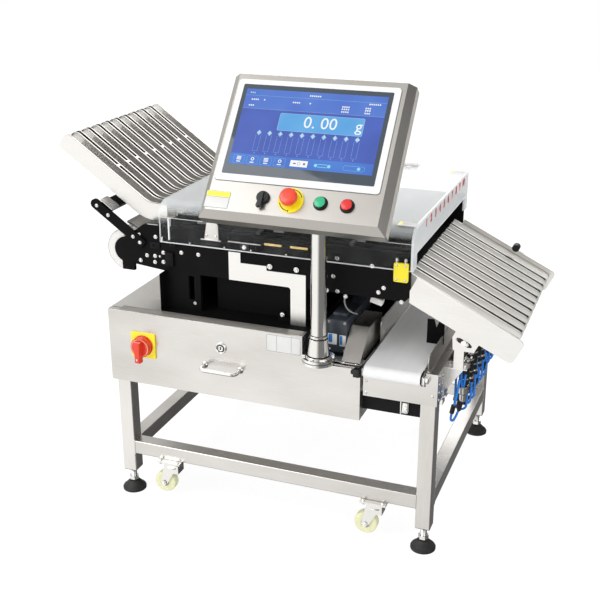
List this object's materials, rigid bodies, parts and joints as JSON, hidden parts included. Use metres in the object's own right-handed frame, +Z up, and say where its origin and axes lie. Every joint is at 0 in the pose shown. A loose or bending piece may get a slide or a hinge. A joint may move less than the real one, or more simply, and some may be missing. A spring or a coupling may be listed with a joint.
{
  "type": "multi-lane checkweigher",
  "caption": "Free-standing checkweigher for stick packs: sloping infeed channels, covered weighing lanes, outfeed chute, reject conveyor, cabinet frame and tilted operator panel",
  "frame": {"origin": "centre of the bounding box on the floor", "axes": "+X along the product flow, infeed to outfeed; +Y from the operator side to the rear; +Z up"},
  "size_m": [1.2692, 0.9168, 1.1895],
  "materials": {
    "black_steel": "satin black powder coat",
    "stainless": "brushed stainless steel",
    "dark_stainless": "stainless steel sheet with a fine ground grain",
    "bright_stainless": "bright polished stainless steel",
    "chute_steel": "smooth stainless steel sheet, slightly reflective",
    "cabinet_paint": "finely ground stainless steel panel",
    "screen_glass": "dark glossy display behind a pale rounded frame",
    "clear_cover": "clear bent plastic sheet with polished edges",
    "white_belt": "matt white conveyor belt",
    "lane_belt": "matt dark conveyor belt",
    "black_rubber": "matt black rubber",
    "nylon": "pale yellow-green nylon",
    "black_plastic": "matt black plastic",
    "yellow_plastic": "glossy yellow plastic",
    "red_plastic": "glossy red plastic",
    "green_plastic": "glossy green plastic",
    "motor_grey": "dark grey enamel on a cast housing",
    "pale_guard": "pale translucent plastic sheet",
    "aluminium": "fine matt anodised aluminium",
    "blue_tube": "glossy blue air tube"
  },
  "bodies": {
    "machine": {"air_tubes": "blue_tube", "apron": "bright_stainless", "back_hinges": "black_plastic", "belt_guides": "bright_stainless", "bridge_plates": "bright_stainless", "button_bezels": "black_plastic", "cabinet_shell": "cabinet_paint", "caster_plates": "bright_stainless", "chute_brackets": "stainless", "chute_knobs": "black_plastic", "cover_back": "clear_cover", "drive_bar": "black_steel", "end_guard": "pale_guard", "estop_collar": "yellow_plastic", "foot_discs": "black_rubber", "foot_studs": "bright_stainless", "hmi_housing": "stainless", "hmi_post": "bright_stainless", "hmi_screen": "screen_glass", "infeed_carrier": "stainless", "infeed_chute": "chute_steel", "lane_belts": "lane_belt", "lane_guides": "bright_stainless", "legs": "stainless", "lower_rails": "stainless", "motor_hood": "bright_stainless", "outfeed_chute": "chute_steel", "outfeed_sides": "bright_stainless", "reject_belt": "white_belt", "reject_frame": "stainless", "reject_motor": "motor_grey", "reject_rollers": "black_plastic", "sensor_arms": "stainless", "sensor_bar": "black_plastic", "side_plates": "black_steel", "upper_rails": "stainless", "valve_bar": "aluminium", "weigh_base": "dark_stainless"},
    "drawer": {"drawer_front": "cabinet_paint", "drawer_tray": "stainless", "drawer_handle": "bright_stainless", "drawer_lock": "bright_stainless", "isolator_plate": "yellow_plastic"},
    "isolator_knob": {"isolator_handle": "red_plastic"},
    "cover": {"cover_lid": "clear_cover", "cover_end": "clear_cover", "lid_hinges": "black_plastic"},
    "estop": {"estop_button": "red_plastic"},
    "green_push": {"green_button": "green_plastic"},
    "red_push": {"red_button": "red_plastic"},
    "key": {"key_switch": "black_plastic"},
    "fork_fl": {"caster_fork_fl": "bright_stainless"},
    "wheel_fl": {"caster_wheel_fl": "nylon"},
    "fork_fr": {"caster_fork_fr": "bright_stainless"},
    "wheel_fr": {"caster_wheel_fr": "nylon"},
    "fork_bl": {"caster_fork_bl": "bright_stainless"},
    "wheel_bl": {"caster_wheel_bl": "nylon"},
    "fork_br": {"caster_fork_br": "bright_stainless"},
    "wheel_br": {"caster_wheel_br": "nylon"}
  },
  "joints": [
    {"name": "drawer_slide", "type": "slide", "parent": "machine", "child": "drawer", "axis": [0, -1, 0], "range_m": [0, 0.35]},
    {"name": "isolator_turn", "type": "hinge", "parent": "drawer", "child": "isolator_knob", "pos_m": [-0.35059, -0.29615, 0.468], "axis": [0, 1, 0], "range_deg": [0, 90]},
    {"name": "cover_hinge", "type": "hinge", "parent": "machine", "child": "cover", "pos_m": [0.02141, 0.38035, 0.856], "axis": [-1, 0, 0], "range_deg": [0, 80]},
    {"name": "estop_push", "type": "slide", "parent": "machine", "child": "estop", "axis": [0, 0.7848, -0.6198], "range_m": [0, 0.004]},
    {"name": "green_push_slide", "type": "slide", "parent": "machine", "child": "green_push", "axis": [0, 0.7848, -0.6198], "range_m": [0, 0.003], "stiffness_N_per_m": 600, "springref_m": -0.001},
    {"name": "red_push_slide", "type": "slide", "parent": "machine", "child": "red_push", "axis": [0, 0.7848, -0.6198], "range_m": [0, 0.003], "stiffness_N_per_m": 600, "springref_m": -0.001},
    {"name": "key_turn", "type": "hinge", "parent": "machine", "child": "key", "pos_m": [0.05841, -0.42437, 0.94623], "axis": [0, -0.7848, 0.6198], "range_deg": [-45, 45]},
    {"name": "swivel_fl", "type": "hinge", "parent": "machine", "child": "fork_fl", "pos_m": [-0.29459, -0.25615, 0.11], "axis": [0, 0, 1], "continuous": true},
    {"name": "spin_fl", "type": "hinge", "parent": "fork_fl", "child": "wheel_fl", "pos_m": [-0.31859, -0.25615, 0.046], "axis": [0, 1, 0], "continuous": true},
    {"name": "swivel_fr", "type": "hinge", "parent": "machine", "child": "fork_fr", "pos_m": [0.29541, -0.25615, 0.11], "axis": [0, 0, 1], "continuous": true},
    {"name": "spin_fr", "type": "hinge", "parent": "fork_fr", "child": "wheel_fr", "pos_m": [0.27141, -0.25615, 0.046], "axis": [0, 1, 0], "continuous": true},
    {"name": "swivel_bl", "type": "hinge", "parent": "machine", "child": "fork_bl", "pos_m": [-0.29459, 0.42385, 0.11], "axis": [0, 0, 1], "continuous": true},
    {"name": "spin_bl", "type": "hinge", "parent": "fork_bl", "child": "wheel_bl", "pos_m": [-0.31859, 0.42385, 0.046], "axis": [0, 1, 0], "continuous": true},
    {"name": "swivel_br", "type": "hinge", "parent": "machine", "child": "fork_br", "pos_m": [0.29541, 0.42385, 0.11], "axis": [0, 0, 1], "continuous": true},
    {"name": "spin_br", "type": "hinge", "parent": "fork_br", "child": "wheel_br", "pos_m": [0.27141, 0.42385, 0.046], "axis": [0, 1, 0], "continuous": true}
  ]
}
